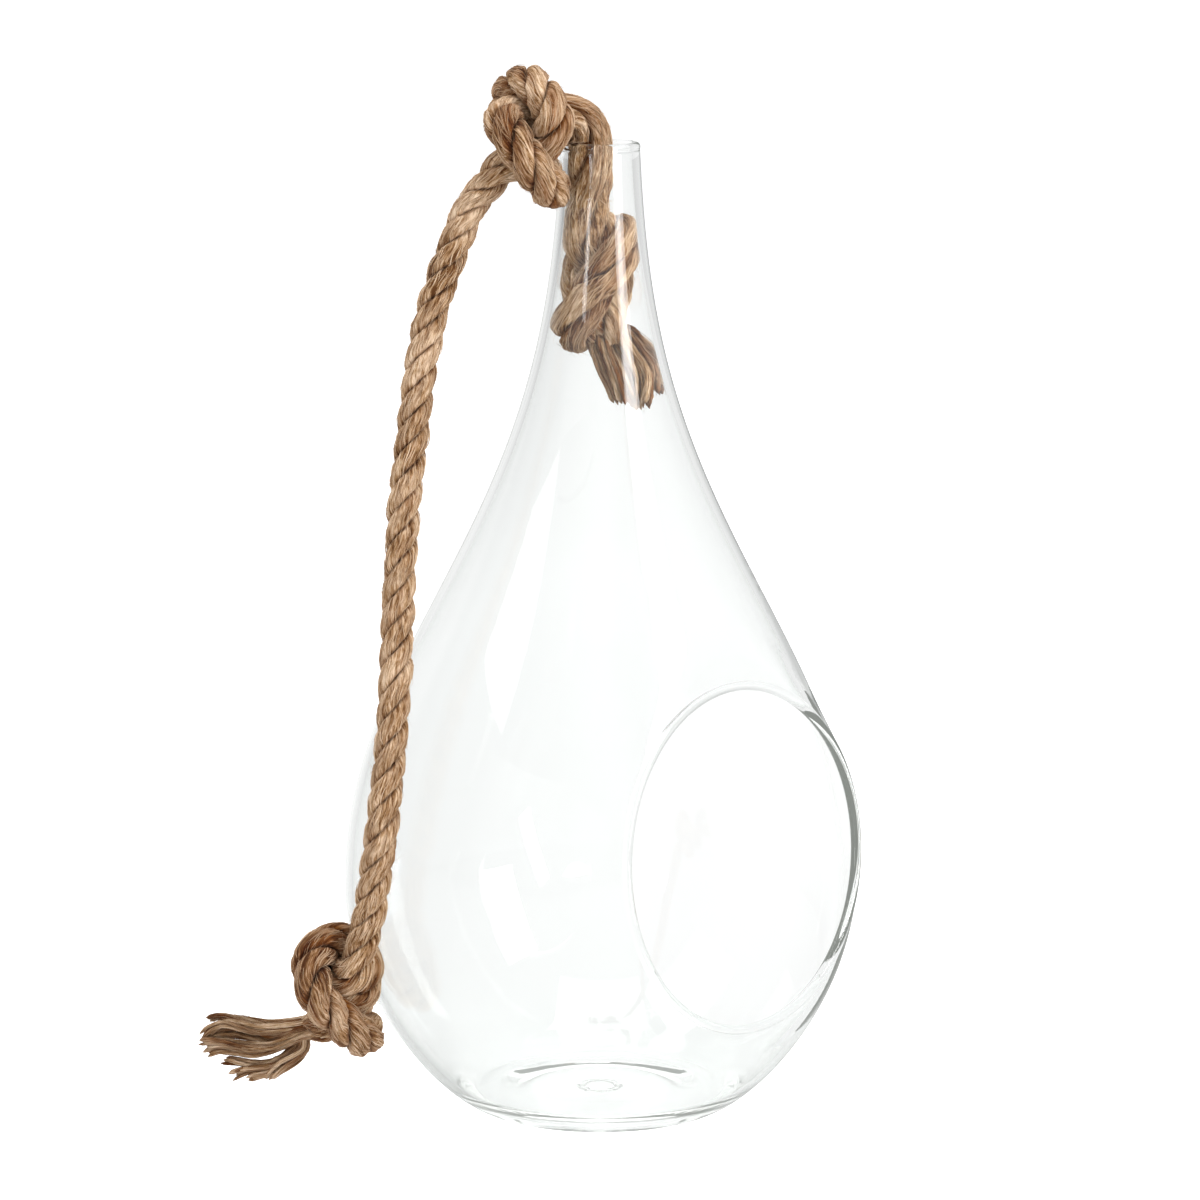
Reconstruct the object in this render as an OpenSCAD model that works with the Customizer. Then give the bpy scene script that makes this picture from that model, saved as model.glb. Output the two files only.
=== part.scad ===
// Teardrop vase: a blown glass drop with a round opening in its side, hung by a jute rope.
// The rope is knotted inside the neck, comes out over the rim and is knotted twice more outside.
// The origin is the centre of the foot on the table, Z is up and the opening faces -Y.

/* [Glass outline] */
// Height from the table to the top of the rim
vessel_h = 300; // [292:1:310]
// Outer diameter at the widest place of the belly
belly_d = 159; // [156:1:164]
// Height of the widest place of the belly
belly_h = 68; // [64:1:72]
// Outer diameter that the neck runs towards
neck_d = 22; // [21.6:0.1:24]
// How fast the shoulder draws in above the belly
shoulder_rate = 4.16; // [4:0.02:4.4]
// How late the shoulder starts to draw in above the belly
shoulder_power = 2.2; // [2.1:0.02:2.3]
// How late the underside starts to draw in below the belly
under_power = 1.8; // [1.6:0.05:2]
// How round the underside turns into the foot
under_root = 0.77; // [0.7:0.01:0.84]
// Thickness of the glass wall
wall_t = 2.5; // [2:0.1:2.6]

/* [Foot] */
// Outer diameter of the flat ring that the vase stands on
foot_d = 79; // [74:1:84]
// Width of that flat ring
foot_ring_w = 6.5; // [4:0.5:9]
// Thickness of the glass at the floor, over the flat ring
floor_t = 4.5; // [4:0.5:8]
// Rise of the hollow under the foot
hollow_h = 1.6; // [1:0.1:2]
// Diameter of the scar where the glass was broken off its rod
scar_d = 13; // [8:1:20]
// Depth of that scar's rim below the hollow
scar_h = 0.6; // [0.3:0.1:0.9]

/* [Rim] */
// Thickness of the melted bead round the rim
rim_bead_d = 2.9; // [2.7:0.1:3.2]

/* [Side opening] */
// Clear diameter of the opening
port_d = 101.4; // [98:0.2:104]
// Height at which the middle line of the opening meets the axis of the vase
port_h = 80.3; // [78:0.5:83]
// Upward tilt of the opening in degrees
port_tilt = 6.2; // [4:0.1:8]
// How far the middle of the lip stands out of the round of the belly at its sides
lip_proud = 0.3; // [0:0.1:0.9]
// Thickness of the melted lip round the opening
lip_d = 3.3; // [3.1:0.1:3.6]

/* [Rope] */
// Diameter of the jute rope
rope_d = 10; // [9.6:0.1:10.1]
// Diameter of the rope where the neck squeezes its knot
squeezed_d = 7.4; // [7:0.1:7.5]
// Diameter of one of the three strands that the rope frays into
strand_d = 4.1; // [3.8:0.1:4.2]

/* [Hidden] */

// How far a cutting solid runs past what it cuts
overrun = 1;
// Pieces of a full turn in the round glass
round_fn = 96;
// Number of steps along the outline below and above the widest place
under_steps = 14;
shoulder_steps = 26;
// Number of steps round half of the bead on the rim, and past half on its two sides
bead_steps = 8;
bead_steps_past = 2;
// Pieces of a full turn in the round of the lip
lip_fn = 24;

belly_r = belly_d / 2;
neck_r = neck_d / 2;
foot_r = foot_d / 2;
port_r = port_d / 2;
shoulder_h = vessel_h - belly_h;
lip_ring_r = port_r + lip_d / 2;
// Distance of the lip from the axis of the vase, along the middle line of the opening
port_reach = sqrt(belly_r * belly_r - lip_ring_r * lip_ring_r) + lip_proud;
// The glass is drawn flat round the opening, with its lip in the middle of the wall
flat_outer = port_reach + wall_t / 2;
flat_inner = port_reach - wall_t / 2;
// The wall ends inside the lip
port_cut_r = port_r + lip_d / 4;
scar_ring_w = scar_d / 8;

// Outer radius of the glass at a height above the table
function outer_r(z) = z >= belly_h
    ? neck_r + (belly_r - neck_r)
        * exp(-shoulder_rate * pow((z - belly_h) / shoulder_h, shoulder_power))
    : foot_r + (belly_r - foot_r)
        * pow(max(1 - pow((belly_h - z) / belly_h, under_power), 0), under_root);

// Heights of the outline's points, close together where the foot turns
under_heights = [for (i = [0:under_steps - 1]) belly_h * (1 - cos(90 * i / under_steps))];
shoulder_heights = [for (i = [0:shoulder_steps]) belly_h + shoulder_h * i / shoulder_steps];
heights = concat(under_heights, shoulder_heights);
outer_line = [for (z = heights) [outer_r(z), z]];

// The inner outline is the outer one moved in square to itself by the wall
function unit(v) = v / norm(v);
function inward(line, i) =
    let (step = line[min(i + 1, len(line) - 1)] - line[max(i - 1, 0)])
    unit([-step[1], step[0]]);
moved_line = [for (i = [1:len(outer_line) - 1]) outer_line[i] + wall_t * inward(outer_line, i)];
inner_line = [for (p = moved_line) if (p[1] > floor_t) p];
function reversed(list) = [for (i = [len(list) - 1:-1:0]) list[i]];

bead_r = rim_bead_d / 2;
bead_at = [outer_r(vessel_h) - wall_t / 2, vessel_h - bead_r];
// The bead's outline from its outer side over its top to its inner side
bead_line = [for (i = [-bead_steps_past:bead_steps + bead_steps_past])
    bead_at + bead_r * [cos(180 * i / bead_steps), sin(180 * i / bead_steps)]];
bead_outer_line = [for (p = bead_line) if (p[0] >= bead_at[0]) p];
bead_inner_line = [for (p = bead_line) if (p[0] <= bead_at[0]) p];
function below_bead(line) = [for (p = line) if (p[1] < bead_at[1] - bead_r) p];

// Outline of the underside, from the axis to the flat ring
foot_line = [
    [0, hollow_h],
    [scar_d / 2 - scar_ring_w, hollow_h],
    [scar_d / 2 - scar_ring_w / 2, hollow_h - scar_h],
    [scar_d / 2, hollow_h],
    [foot_r - 3 * foot_ring_w, hollow_h],
    [foot_r - foot_ring_w, 0]
];

// Solid drop of glass to the outer skin, with a flat cut for the side opening
module drop_outside() {
    difference() {
        rotate_extrude($fn = round_fn)
            polygon(concat(foot_line, below_bead(outer_line), bead_outer_line, [[0, vessel_h]]));
        beyond_plane(flat_outer);
    }
}
// Air inside the drop, flat behind the side opening
module drop_inside() {
    difference() {
        rotate_extrude($fn = round_fn)
            polygon(concat([[0, floor_t], [inner_line[0][0], floor_t]], below_bead(inner_line),
                           reversed(bead_inner_line),
                           [[bead_at[0], vessel_h + overrun], [0, vessel_h + overrun]]));
        beyond_plane(flat_inner);
    }
}

// Places children with their Z axis on the middle line of the side opening
module at_port() {
    translate([0, 0, port_h])
        rotate([90 - port_tilt, 0, 0])
            children();
}
// Everything beyond a plane square to the middle line of the side opening
module beyond_plane(reach) {
    at_port()
        translate([0, 0, reach])
            cylinder(r = belly_d, h = belly_d);
}
// Melted round lip of the side opening
module port_lip() {
    at_port()
        translate([0, 0, port_reach])
            rotate_extrude($fn = round_fn)
                translate([lip_ring_r, 0])
                    circle(d = lip_d, $fn = lip_fn);
}

module glass_vessel() {
    color("LightCyan", 0.4) {
        union() {
            difference() {
                drop_outside();
                drop_inside();
                at_port() cylinder(r = port_cut_r, h = belly_r + overrun, $fn = round_fn);
            }
            port_lip();
        }
    }
}

// Sides of the rope's tube and of a strand's tube
rope_sides = 10;
strand_sides = 8;
// Steps between two route points in a knot and the neck, in the hanging run and in a strand
loop_steps = 2;
run_steps = 1;
strand_steps = 3;
// Turn of the frayed strands about the rope at its two ends
inner_fray_turn = -15;
end_fray_turn = 45;

// Belly and height for which the routes below were laid out; other sizes move them along
laid_belly_r = 79.5;
laid_drop = 130;
// Moves a point laid out from the centre of the rim to the vase's own size
function on_vase(p) =
    let (out = norm([p[0], p[1]]), swell = (belly_r - laid_belly_r) * min(1, max(0, -p[2] / laid_drop)))
    [p[0] * (1 + swell / out), p[1] * (1 + swell / out), p[2] + vessel_h];

// Half of an overhand knot in rope diameters, from its middle bight to where the rope leaves.
// The other half is this one turned half round the third axis. The rope runs along the first.
knot_half_shares = [
    [0, 0, -0.75], [-0.5, 0.5, -0.75], [-1.1, 0.9, -0.3], [-1.35, 0.75, 0.45],
    [-1.15, 0.25, 1.05], [-0.5, -0.4, 1.15], [0.15, -0.5, 0.65], [0.6, -0.1, 0.15],
    [1.25, 0.25, 0.05]
];
knot_shares = concat(
    [for (i = [len(knot_half_shares) - 1:-1:1])
        let (p = knot_half_shares[i]) [-p[0], -p[1], p[2]]],
    knot_half_shares
);

// Route points of one knot, from its centre, the way the rope runs, the side of its first lobe,
// its size along those ways in rope diameters, and 1 or -1 for its hand
function knot_points(centre, along, side, size_shares, hand) =
    let (ex = unit(along), ez = unit(cross(ex, side)), ey = cross(ez, ex))
    [for (k = knot_shares)
        centre + rope_d * (k[0] * size_shares[0] * ex + k[1] * size_shares[1] * ey
                           + k[2] * size_shares[2] * hand * ez)];

// The rope's route from inside the neck to its end, in millimetres from the centre of the rim
inner_root = [[1.5, -5.5, -61]];
stopper_route = knot_points([-2.3, -1.1, -42.7], [-0.05, 0.13, 0.99], [-0.72, 0.69, 0],
                            [1.1, 0.94, 0.76], -1);
neck_route = [
    [-4.6, 3.2, -18.5], [-3.6, 2.2, -11], [-3.5, 2, -4], [-3.7, 2.1, 0], [-4.8, 2.8, 4],
    [-7.8, 4, 7.6]
];
top_route = knot_points([-22.9, 7.6, 1], [-0.68, -0.06, -0.73], [-0.43, 0.84, 0.33],
                        [0.98, 1.38, 1.1], -1);
hanging_route = [
    [-35.5, 13.5, -12], [-38.5, 17.5, -18.5], [-42.5, 20.5, -30], [-46, 23, -42], [-49.5, 24, -53],
    [-54, 24, -69], [-57.5, 23.5, -85], [-62.5, 22, -105], [-67.5, 19.5, -128], [-72.5, 16, -150],
    [-78, 12.5, -173], [-83.5, 10.5, -196], [-85.7, 11.9, -213], [-87.5, 13.8, -229]
];
end_route = knot_points([-90.2, 23.9, -254.2], [0.21, 0.46, -0.86], [-0.65, 0.72, 0.23],
                        [1, 1.13, 1.05], 1);
end_root = [[-91.5, 38.5, -267]];
rope_route = [for (p = concat(inner_root, stopper_route, neck_route, top_route, hanging_route,
                              end_route, end_root)) on_vase(p)];

// Where one piece of the rope ends and the next begins, as places in the route
stopper_end = len(inner_root) + len(stopper_route) - 1;
top_start = stopper_end + len(neck_route) + 1;
top_end = top_start + len(top_route) - 1;
end_start = top_end + len(hanging_route) + 1;
route_end = len(rope_route) - 1;

// The strands that the two ends fray into, as the last two points of each
inner_frays = [
    [[1, -2, -69], [2.5, -4.5, -79]],
    [[7.5, -6, -66.5], [12.5, -10.5, -74.5]],
    [[1, -8, -70.5], [4, -11, -81]]
];
end_frays = [
    [[-99.5, 49.5, -262], [-109.5, 63, -264.5]],
    [[-97.5, 55.5, -269], [-106.5, 71.5, -274]],
    [[-99.5, 45, -276.5], [-107.5, 58.5, -282.5]]
];

// A smooth curve through the points of a route, between two of them
function curve_point(route, i, t) =
    let (n = len(route) - 1,
         p1 = route[i], p2 = route[min(i + 1, n)],
         p0 = i > 0 ? route[i - 1] : 2 * p1 - p2,
         p3 = i + 2 <= n ? route[i + 2] : 2 * p2 - p1)
    (2 * p1 + (p2 - p0) * t + (2 * p0 - 5 * p1 + 4 * p2 - p3) * t * t
        + (3 * p1 - p0 - 3 * p2 + p3) * t * t * t) / 2;
function curve(route, from, to, steps) = concat(
    [for (i = [from:to - 1], s = [0:steps - 1]) curve_point(route, i, s / steps)],
    [route[to]]);

// The rope thins from its full size over this run, starting this far below the rim's top
squeeze_top = 15;
squeeze_run = 12;
// Below this depth and beyond this radius the glass leaves room for the full size again
squeeze_bottom = 59;
squeeze_reach = 20;
function squeeze_share(p) = min(1, max(0, (vessel_h - squeeze_top - p[2]) / squeeze_run));
function is_squeezed(p) = norm([p[0], p[1]]) < squeeze_reach && p[2] > vessel_h - squeeze_bottom;
// Diameter of the rope at a point of the route
function rope_d_at(p) = is_squeezed(p)
    ? rope_d + (squeezed_d - rope_d) * squeeze_share(p) : rope_d;

// Directions along a line of points, and a side direction that turns no more than it must
function direction(line, i) = unit(line[min(i + 1, len(line) - 1)] - line[max(i - 1, 0)]);
function squared(side, along) = unit(side - along * (side * along));
function sides_along(line, first) = [
    for (i = 0, side = squared(first, direction(line, 0)); i < len(line);
         i = i + 1, side = i < len(line) ? squared(side, direction(line, i)) : side) side];
function ring(centre, along, side, d, n) = [
    for (i = [0:n - 1], turn = 360 * i / n)
        centre + d / 2 * (cos(turn) * side + sin(turn) * cross(along, side))];

// One closed tube through a list of rings
module tube(rings) {
    n = len(rings[0]);
    last = len(rings) - 1;
    polyhedron(
        points = [for (r = rings) each r],
        faces = concat(
            [for (i = [0:last - 1], a = [0:n - 1])
                [i * n + a, i * n + (a + 1) % n, (i + 1) * n + a]],
            [for (i = [0:last - 1], a = [0:n - 1])
                [i * n + (a + 1) % n, (i + 1) * n + (a + 1) % n, (i + 1) * n + a]],
            [for (a = [1:n - 2]) [0, a + 1, a]],
            [for (a = [1:n - 2]) [last * n, last * n + a, last * n + a + 1]]
        )
    );
}

// Points along the whole rope, closer together in the knots, and its rings
stopper_line = curve(rope_route, 0, stopper_end, loop_steps);
neck_line = curve(rope_route, stopper_end, top_start, loop_steps);
top_line = curve(rope_route, top_start, top_end, loop_steps);
hanging_line = curve(rope_route, top_end, end_start, run_steps);
end_line = curve(rope_route, end_start, route_end, loop_steps);
function but_last(list) = [for (i = [0:len(list) - 2]) list[i]];
rope_line = concat(but_last(stopper_line), but_last(neck_line), but_last(top_line),
                   but_last(hanging_line), end_line);
rope_sides_along = sides_along(rope_line, [0, 1, 0]);
rope_rings = [for (i = [0:len(rope_line) - 1])
    ring(rope_line[i], direction(rope_line, i), rope_sides_along[i], rope_d_at(rope_line[i]),
         rope_sides)];
stopper_count = len(stopper_line) - 1;
neck_count = stopper_count + len(neck_line) - 1;
top_count = neck_count + len(top_line) - 1;
hanging_count = top_count + len(hanging_line) - 1;
module rope_piece(from, to) {
    tube([for (i = [from:to]) rope_rings[i]]);
}

// Three strands side by side in the rope's end face, each out to its own tip
strand_ring_r = (rope_d - strand_d) / 2;
strand_lead = strand_d;
module frays(root, along, side, tips, first_turn) {
    for (k = [0:len(tips) - 1]) {
        turn = 360 * k / len(tips) + first_turn;
        start = root + strand_ring_r * (cos(turn) * side + sin(turn) * cross(along, side));
        route = concat([start, start + strand_lead * along], [for (p = tips[k]) on_vase(p)]);
        line = curve(route, 0, len(route) - 1, strand_steps);
        around = sides_along(line, side);
        tube(concat(
            [ring(line[0], along, squared(side, along), strand_d, strand_sides)],
            [for (i = [1:len(line) - 1])
                ring(line[i], direction(line, i), around[i], strand_d, strand_sides)]
        ));
    }
}

// Least gap of the rope to itself, past the stretch where it is its own neighbour
neighbour_run = 2 * rope_d;
gap_steps = 8;
function run_lengths(line) = [
    for (i = 0, run = 0; i < len(line);
         i = i + 1, run = i < len(line) ? run + norm(line[i] - line[i - 1]) : run) run];
fine_line = curve(rope_route, 0, route_end, gap_steps);
fine_runs = run_lengths(fine_line);
least_gap = min([for (i = [0:len(fine_line) - 2], j = [i + 1:len(fine_line) - 1])
    if (fine_runs[j] - fine_runs[i] > neighbour_run)
        norm(fine_line[i] - fine_line[j]) - (rope_d_at(fine_line[i]) + rope_d_at(fine_line[j])) / 2]);
echo(least_gap_of_the_rope_to_itself = least_gap, rope_length = fine_runs[len(fine_runs) - 1]);

module rope_inner_tail() {
    color("BurlyWood")
        frays(rope_line[0], -direction(rope_line, 0), rope_sides_along[0], inner_frays,
              inner_fray_turn);
}
module rope_stopper_knot() {
    color("Tan") rope_piece(0, stopper_count);
}
module rope_neck_run() {
    color("BurlyWood") rope_piece(stopper_count, neck_count);
}
module rope_top_knot() {
    color("Tan") rope_piece(neck_count, top_count);
}
module rope_hanging_run() {
    color("BurlyWood") rope_piece(top_count, hanging_count);
}
module rope_end_knot() {
    color("Tan") rope_piece(hanging_count, len(rope_line) - 1);
}
module rope_end_tail() {
    color("BurlyWood")
        frays(rope_line[len(rope_line) - 1], direction(rope_line, len(rope_line) - 1),
              rope_sides_along[len(rope_line) - 1], end_frays, end_fray_turn);
}

glass_vessel();
rope_inner_tail();
rope_stopper_knot();
rope_neck_run();
rope_top_knot();
rope_hanging_run();
rope_end_knot();
rope_end_tail();
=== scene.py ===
import math

import bmesh
import bpy
import numpy as np
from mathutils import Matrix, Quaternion, Vector


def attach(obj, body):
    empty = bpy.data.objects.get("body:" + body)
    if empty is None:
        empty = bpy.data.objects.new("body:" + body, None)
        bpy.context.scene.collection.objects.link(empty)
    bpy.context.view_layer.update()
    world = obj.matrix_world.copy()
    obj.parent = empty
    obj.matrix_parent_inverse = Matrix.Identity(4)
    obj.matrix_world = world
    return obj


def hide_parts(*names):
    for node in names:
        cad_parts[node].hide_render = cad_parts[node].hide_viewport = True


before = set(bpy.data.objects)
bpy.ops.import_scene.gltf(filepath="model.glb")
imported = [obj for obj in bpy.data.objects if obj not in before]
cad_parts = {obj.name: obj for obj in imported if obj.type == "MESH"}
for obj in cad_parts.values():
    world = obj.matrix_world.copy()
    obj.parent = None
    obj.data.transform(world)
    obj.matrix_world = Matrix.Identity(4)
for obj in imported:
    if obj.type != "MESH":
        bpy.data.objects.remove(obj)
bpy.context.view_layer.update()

MM = 0.001
TINY = 1e-9


def unit(v):
    """A vector, or each of many, made one long."""
    v = np.asarray(v, float)
    return v / np.maximum(np.linalg.norm(v, axis=-1, keepdims=True), TINY)


def square_to(way, v):
    """What of a vector, or of each of many, is square to a way, made one long."""
    return unit(v - way * (v * way).sum(-1, keepdims=True))


def smooth_step(low, high, x):
    t = np.clip((x - low) / (high - low), 0, 1)
    return t * t * (3 - 2 * t)


def placed(name, data):
    """A new object in the scene."""
    thing = bpy.data.objects.new(name, data)
    bpy.context.scene.collection.objects.link(thing)
    return thing


# Camera: as high and as far from the vase's axis as the photograph's
CAMERA_AWAY = 1430.4
CAMERA_H = 417.8
CAMERA_AZIMUTH = math.radians(-47)
CAMERA_PITCH = math.radians(10.268)
CAMERA_LENS = 141.27
SENSOR_W = 36


def make_camera():
    data = bpy.data.cameras.new("camera")
    data.lens = CAMERA_LENS
    data.sensor_width = SENSOR_W
    data.clip_start = 0.05
    data.clip_end = 100
    camera = placed("camera", data)
    out = Vector((math.sin(CAMERA_AZIMUTH), -math.cos(CAMERA_AZIMUTH), 0))
    camera.location = out * CAMERA_AWAY * MM + Vector((0, 0, CAMERA_H * MM))
    look = -out * math.cos(CAMERA_PITCH) - Vector((0, 0, math.sin(CAMERA_PITCH)))
    camera.rotation_mode = "QUATERNION"
    camera.rotation_quaternion = look.to_track_quat("-Z", "Y")
    bpy.context.scene.camera = camera


make_camera()

# Sizes of the glass, as in the part's source
VESSEL_H = 300
BELLY_R = 79.5
BELLY_H = 68
NECK_R = 11
SHOULDER_RATE = 4.16
SHOULDER_POWER = 2.2
UNDER_POWER = 1.8
UNDER_ROOT = 0.77
WALL = 2.5
FOOT_R = 39.5
FOOT_RING_W = 6.5
FLOOR_T = 4.5
HOLLOW_H = 1.6
SCAR_R = 5.7
SCAR_W = 0.8
SCAR_H = 0.9
# The scar is deep only at these turns round the foot, and this far to each side
SPECKS = np.radians([130, 212, 232, 313])
SPECK_HALF = 0.17
BEAD_R = 1.45
PORT_R = 50.7
PORT_H = 80.3
PORT_TILT = math.radians(6.2)
LIP_R = 1.65
LIP_RING_R = PORT_R + LIP_R
LIP_PROUD = 0.3
LIP_REACH = math.sqrt(BELLY_R**2 - LIP_RING_R**2) + LIP_PROUD


def outer_r(z):
    z = np.asarray(z, float)
    up = np.clip((z - BELLY_H) / (VESSEL_H - BELLY_H), 0, None)
    down = np.clip((BELLY_H - z) / BELLY_H, 0, 1)
    above = NECK_R + (BELLY_R - NECK_R) * np.exp(-SHOULDER_RATE * up**SHOULDER_POWER)
    below = FOOT_R + (BELLY_R - FOOT_R) * np.clip(1 - down**UNDER_POWER, 0, None)**UNDER_ROOT
    return np.where(z >= BELLY_H, above, below)


def smooth_min(a, b, k):
    h = np.clip(k - np.abs(a - b), 0, None) / k
    return np.minimum(a, b) - h * h * k / 4


def moved_in(line, wall):
    """The outline moved towards the axis, square to itself."""
    step = unit(np.gradient(line, axis=0))
    return line + wall * np.stack([-step[:, 1], step[:, 0]], 1)


class Nodes:
    """Short calls that add nodes to a material, world or lamp and link them."""

    def __init__(self, owner):
        owner.use_nodes = True
        self.tree = owner.node_tree
        self.tree.nodes.clear()

    def put(self, socket, value):
        """Links the socket to an output, or to a node's first one, or sets it to a plain value."""
        value = value.outputs[0] if hasattr(value, "outputs") else value
        if hasattr(value, "is_output"):
            self.tree.links.new(value, socket)
        else:
            socket.default_value = value

    def add(self, kind, settings=None, **inputs):
        """A new node. An input goes by its name, or by its number after an i."""
        node = self.tree.nodes.new("ShaderNode" + kind)
        for name, value in (settings or {}).items():
            setattr(node, name, value)
        for name, value in inputs.items():
            key = int(name[1:]) if name[1:].isdigit() else name.replace("_", " ")
            self.put(node.inputs[key], value)
        return node

    def math(self, operation, a, b=0.0):
        return self.add("Math", {"operation": operation}, i0=a, i1=b)

    def mix(self, factor, a, b, blend="MIX"):
        settings = {"data_type": "RGBA", "blend_type": blend}
        return self.add("Mix", settings, i0=factor, i6=a, i7=b).outputs[2]

    def noise(self, vector, **inputs):
        return self.add("TexNoise", Vector=vector, **inputs)

    def ramp(self, factor, stops):
        """A colour ramp through the stops, each a place from 0 to 1 and a colour."""
        node = self.add("ValToRGB", Fac=factor)
        while len(node.color_ramp.elements) < len(stops):
            node.color_ramp.elements.new(0.5)
        for element, (place, colour) in zip(node.color_ramp.elements, stops):
            element.position = place
            element.color = (*colour, 1)
        return node


def dot(n, vector, way):
    made = n.add("VectorMath", {"operation": "DOT_PRODUCT"}, i0=vector, i1=tuple(way))
    return made.outputs["Value"]


def ranged(n, value, from_low, from_high, to_low, to_high):
    return n.add("MapRange", Value=value, From_Min=from_low, From_Max=from_high,
                 To_Min=to_low, To_Max=to_high)


def either(n, share, a, b):
    """a where share is 0 and b where it is 1."""
    return n.add("Mix", {"data_type": "FLOAT"}, i0=share, i2=a, i3=b)


def height_at(n, place):
    return n.add("SeparateXYZ", Vector=place).outputs[2]


# The rope's route, point for point as in the part's source, from the centre of the rim
ROPE_D = 10
KNOT_HALF_SHARES = np.array([
    (0, 0, -0.75), (-0.5, 0.5, -0.75), (-1.1, 0.9, -0.3), (-1.35, 0.75, 0.45),
    (-1.15, 0.25, 1.05), (-0.5, -0.4, 1.15), (0.15, -0.5, 0.65), (0.6, -0.1, 0.15),
    (1.25, 0.25, 0.05)])
KNOT_SHARES = np.vstack([KNOT_HALF_SHARES[:0:-1] * (-1, -1, 1), KNOT_HALF_SHARES])


def knot_points(centre, along, side, size_shares, hand):
    ex = unit(along)
    ez = unit(np.cross(ex, side))
    ey = np.cross(ez, ex)
    k = KNOT_SHARES * size_shares * ROPE_D
    return centre + k[:, :1] * ex + k[:, 1:2] * ey + k[:, 2:] * hand * ez


INNER_ROOT = [(1.5, -5.5, -61)]
STOPPER_ROUTE = knot_points([-2.3, -1.1, -42.7], [-0.05, 0.13, 0.99], [-0.72, 0.69, 0],
                            [1.1, 0.94, 0.76], -1)
NECK_ROUTE = [(-4.6, 3.2, -18.5), (-3.6, 2.2, -11), (-3.5, 2, -4), (-3.7, 2.1, 0), (-4.8, 2.8, 4),
              (-7.8, 4, 7.6)]
TOP_ROUTE = knot_points([-22.9, 7.6, 1], [-0.68, -0.06, -0.73], [-0.43, 0.84, 0.33],
                        [0.98, 1.38, 1.1], -1)
HANGING_ROUTE = [(-35.5, 13.5, -12), (-38.5, 17.5, -18.5), (-42.5, 20.5, -30), (-46, 23, -42),
                 (-49.5, 24, -53), (-54, 24, -69), (-57.5, 23.5, -85), (-62.5, 22, -105),
                 (-67.5, 19.5, -128), (-72.5, 16, -150), (-78, 12.5, -173), (-83.5, 10.5, -196),
                 (-85.7, 11.9, -213), (-87.5, 13.8, -229)]
END_ROUTE = knot_points([-90.2, 23.9, -254.2], [0.21, 0.46, -0.86], [-0.65, 0.72, 0.23],
                        [1, 1.13, 1.05], 1)
END_ROOT = [(-91.5, 38.5, -267)]
ROUTE = np.vstack([INNER_ROOT, STOPPER_ROUTE, NECK_ROUTE, TOP_ROUTE, HANGING_ROUTE, END_ROUTE,
                   END_ROOT]) + (0, 0, VESSEL_H)
STOPPER_END = len(STOPPER_ROUTE)
TOP_START = STOPPER_END + len(NECK_ROUTE) + 1
TOP_END = TOP_START + len(TOP_ROUTE) - 1
END_START = TOP_END + len(HANGING_ROUTE) + 1

# Stations along the rope, this far apart, and steps of the curve that they are taken from
STATION_RUN = 0.62
CURVE_STEPS = 40


def curve(points, steps):
    """Points on a smooth curve through all the points given, with so many steps between two."""
    p = np.vstack([2 * points[0] - points[1], points, 2 * points[-1] - points[-2]])
    t = (np.arange(steps) / steps)[:, None]
    spans = [
        (2 * b + (c - a) * t + (2 * a - 5 * b + 4 * c - d) * t**2 + (3 * b - a - 3 * c + d) * t**3) / 2
        for a, b, c, d in zip(p, p[1:], p[2:], p[3:])]
    return np.vstack([*spans, points[-1:]])


def runs_of(line):
    """Distance along a line, or along each of many, at each of its points."""
    steps = np.linalg.norm(np.diff(line, axis=-2), axis=-1)
    return np.concatenate([np.zeros((*steps.shape[:-1], 1)), np.cumsum(steps, -1)], -1)


def resampled(line, run):
    """The same line with points an even run apart, and each old point's distance along it."""
    runs = runs_of(line)
    count = int(round(runs[-1] / run)) + 1
    at = np.linspace(0, runs[-1], count)
    return np.stack([np.interp(at, runs, line[:, i]) for i in range(3)], 1), runs


def directions(line):
    return unit(np.gradient(line, axis=0))


def sides_along(line, first):
    """A side direction at each point that turns no more than it must."""
    sides = []
    side = np.asarray(first, float)
    for way in directions(line):
        side = square_to(way, side)
        sides.append(side)
    return np.array(sides)


FINE = curve(ROUTE, CURVE_STEPS)
LINE, FINE_RUNS = resampled(FINE, STATION_RUN)
ALONG = directions(LINE)
SIDE = sides_along(LINE, (0, 1, 0))
RUN = runs_of(LINE)


def station(place):
    """Number of the station nearest to a place in the route."""
    return int(round(FINE_RUNS[place * CURVE_STEPS] / FINE_RUNS[-1] * (len(LINE) - 1)))


NODES = ("rope_stopper_knot", "rope_neck_run", "rope_top_knot", "rope_hanging_run", "rope_end_knot")
STARTS = [0, *(station(place) for place in (STOPPER_END, TOP_START, TOP_END, END_START)), len(LINE) - 1]
NODE_SPANS = dict(zip(NODES, zip(STARTS, STARTS[1:])))

# Lay of the rope: three strands, a full turn in this run
LAY_RUN = 27
STRANDS = 3
STRAND_SIDES = 40
# Turn of a strand's own fibres against its lay, radians for each millimetre
FIBRE_TURN = 0.36
# Radius of the rope: as laid, in its knots, where it opens inside the neck and where it leaves it
LAID_R = 5.0
KNOT_R = 6.2
OPENED_R = 6.3
LEAVING_R = 5.8
# The rope inside the neck spreads along the glass, square to the camera's first view
OPEN_WAY = np.array([0.682, -0.731, 0])
GLASS_GAP = 0.2
# What differs between two stretches of the rope is eased over this run
EASE_RUN = 9


def on_stations(*looks):
    """A value at each station from one for each stretch of the rope, in the order of NODES."""
    values = np.zeros(len(LINE))
    for (low, high), value in zip(NODE_SPANS.values(), looks):
        values[low:high + 1] = value
    half = int(EASE_RUN / STATION_RUN / 2)
    kernel = np.hanning(2 * half + 3)[1:-1]
    padded = np.concatenate([np.full(half, values[0]), values, np.full(half, values[-1])])
    return np.convolve(padded, kernel / kernel.sum(), "valid")


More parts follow.
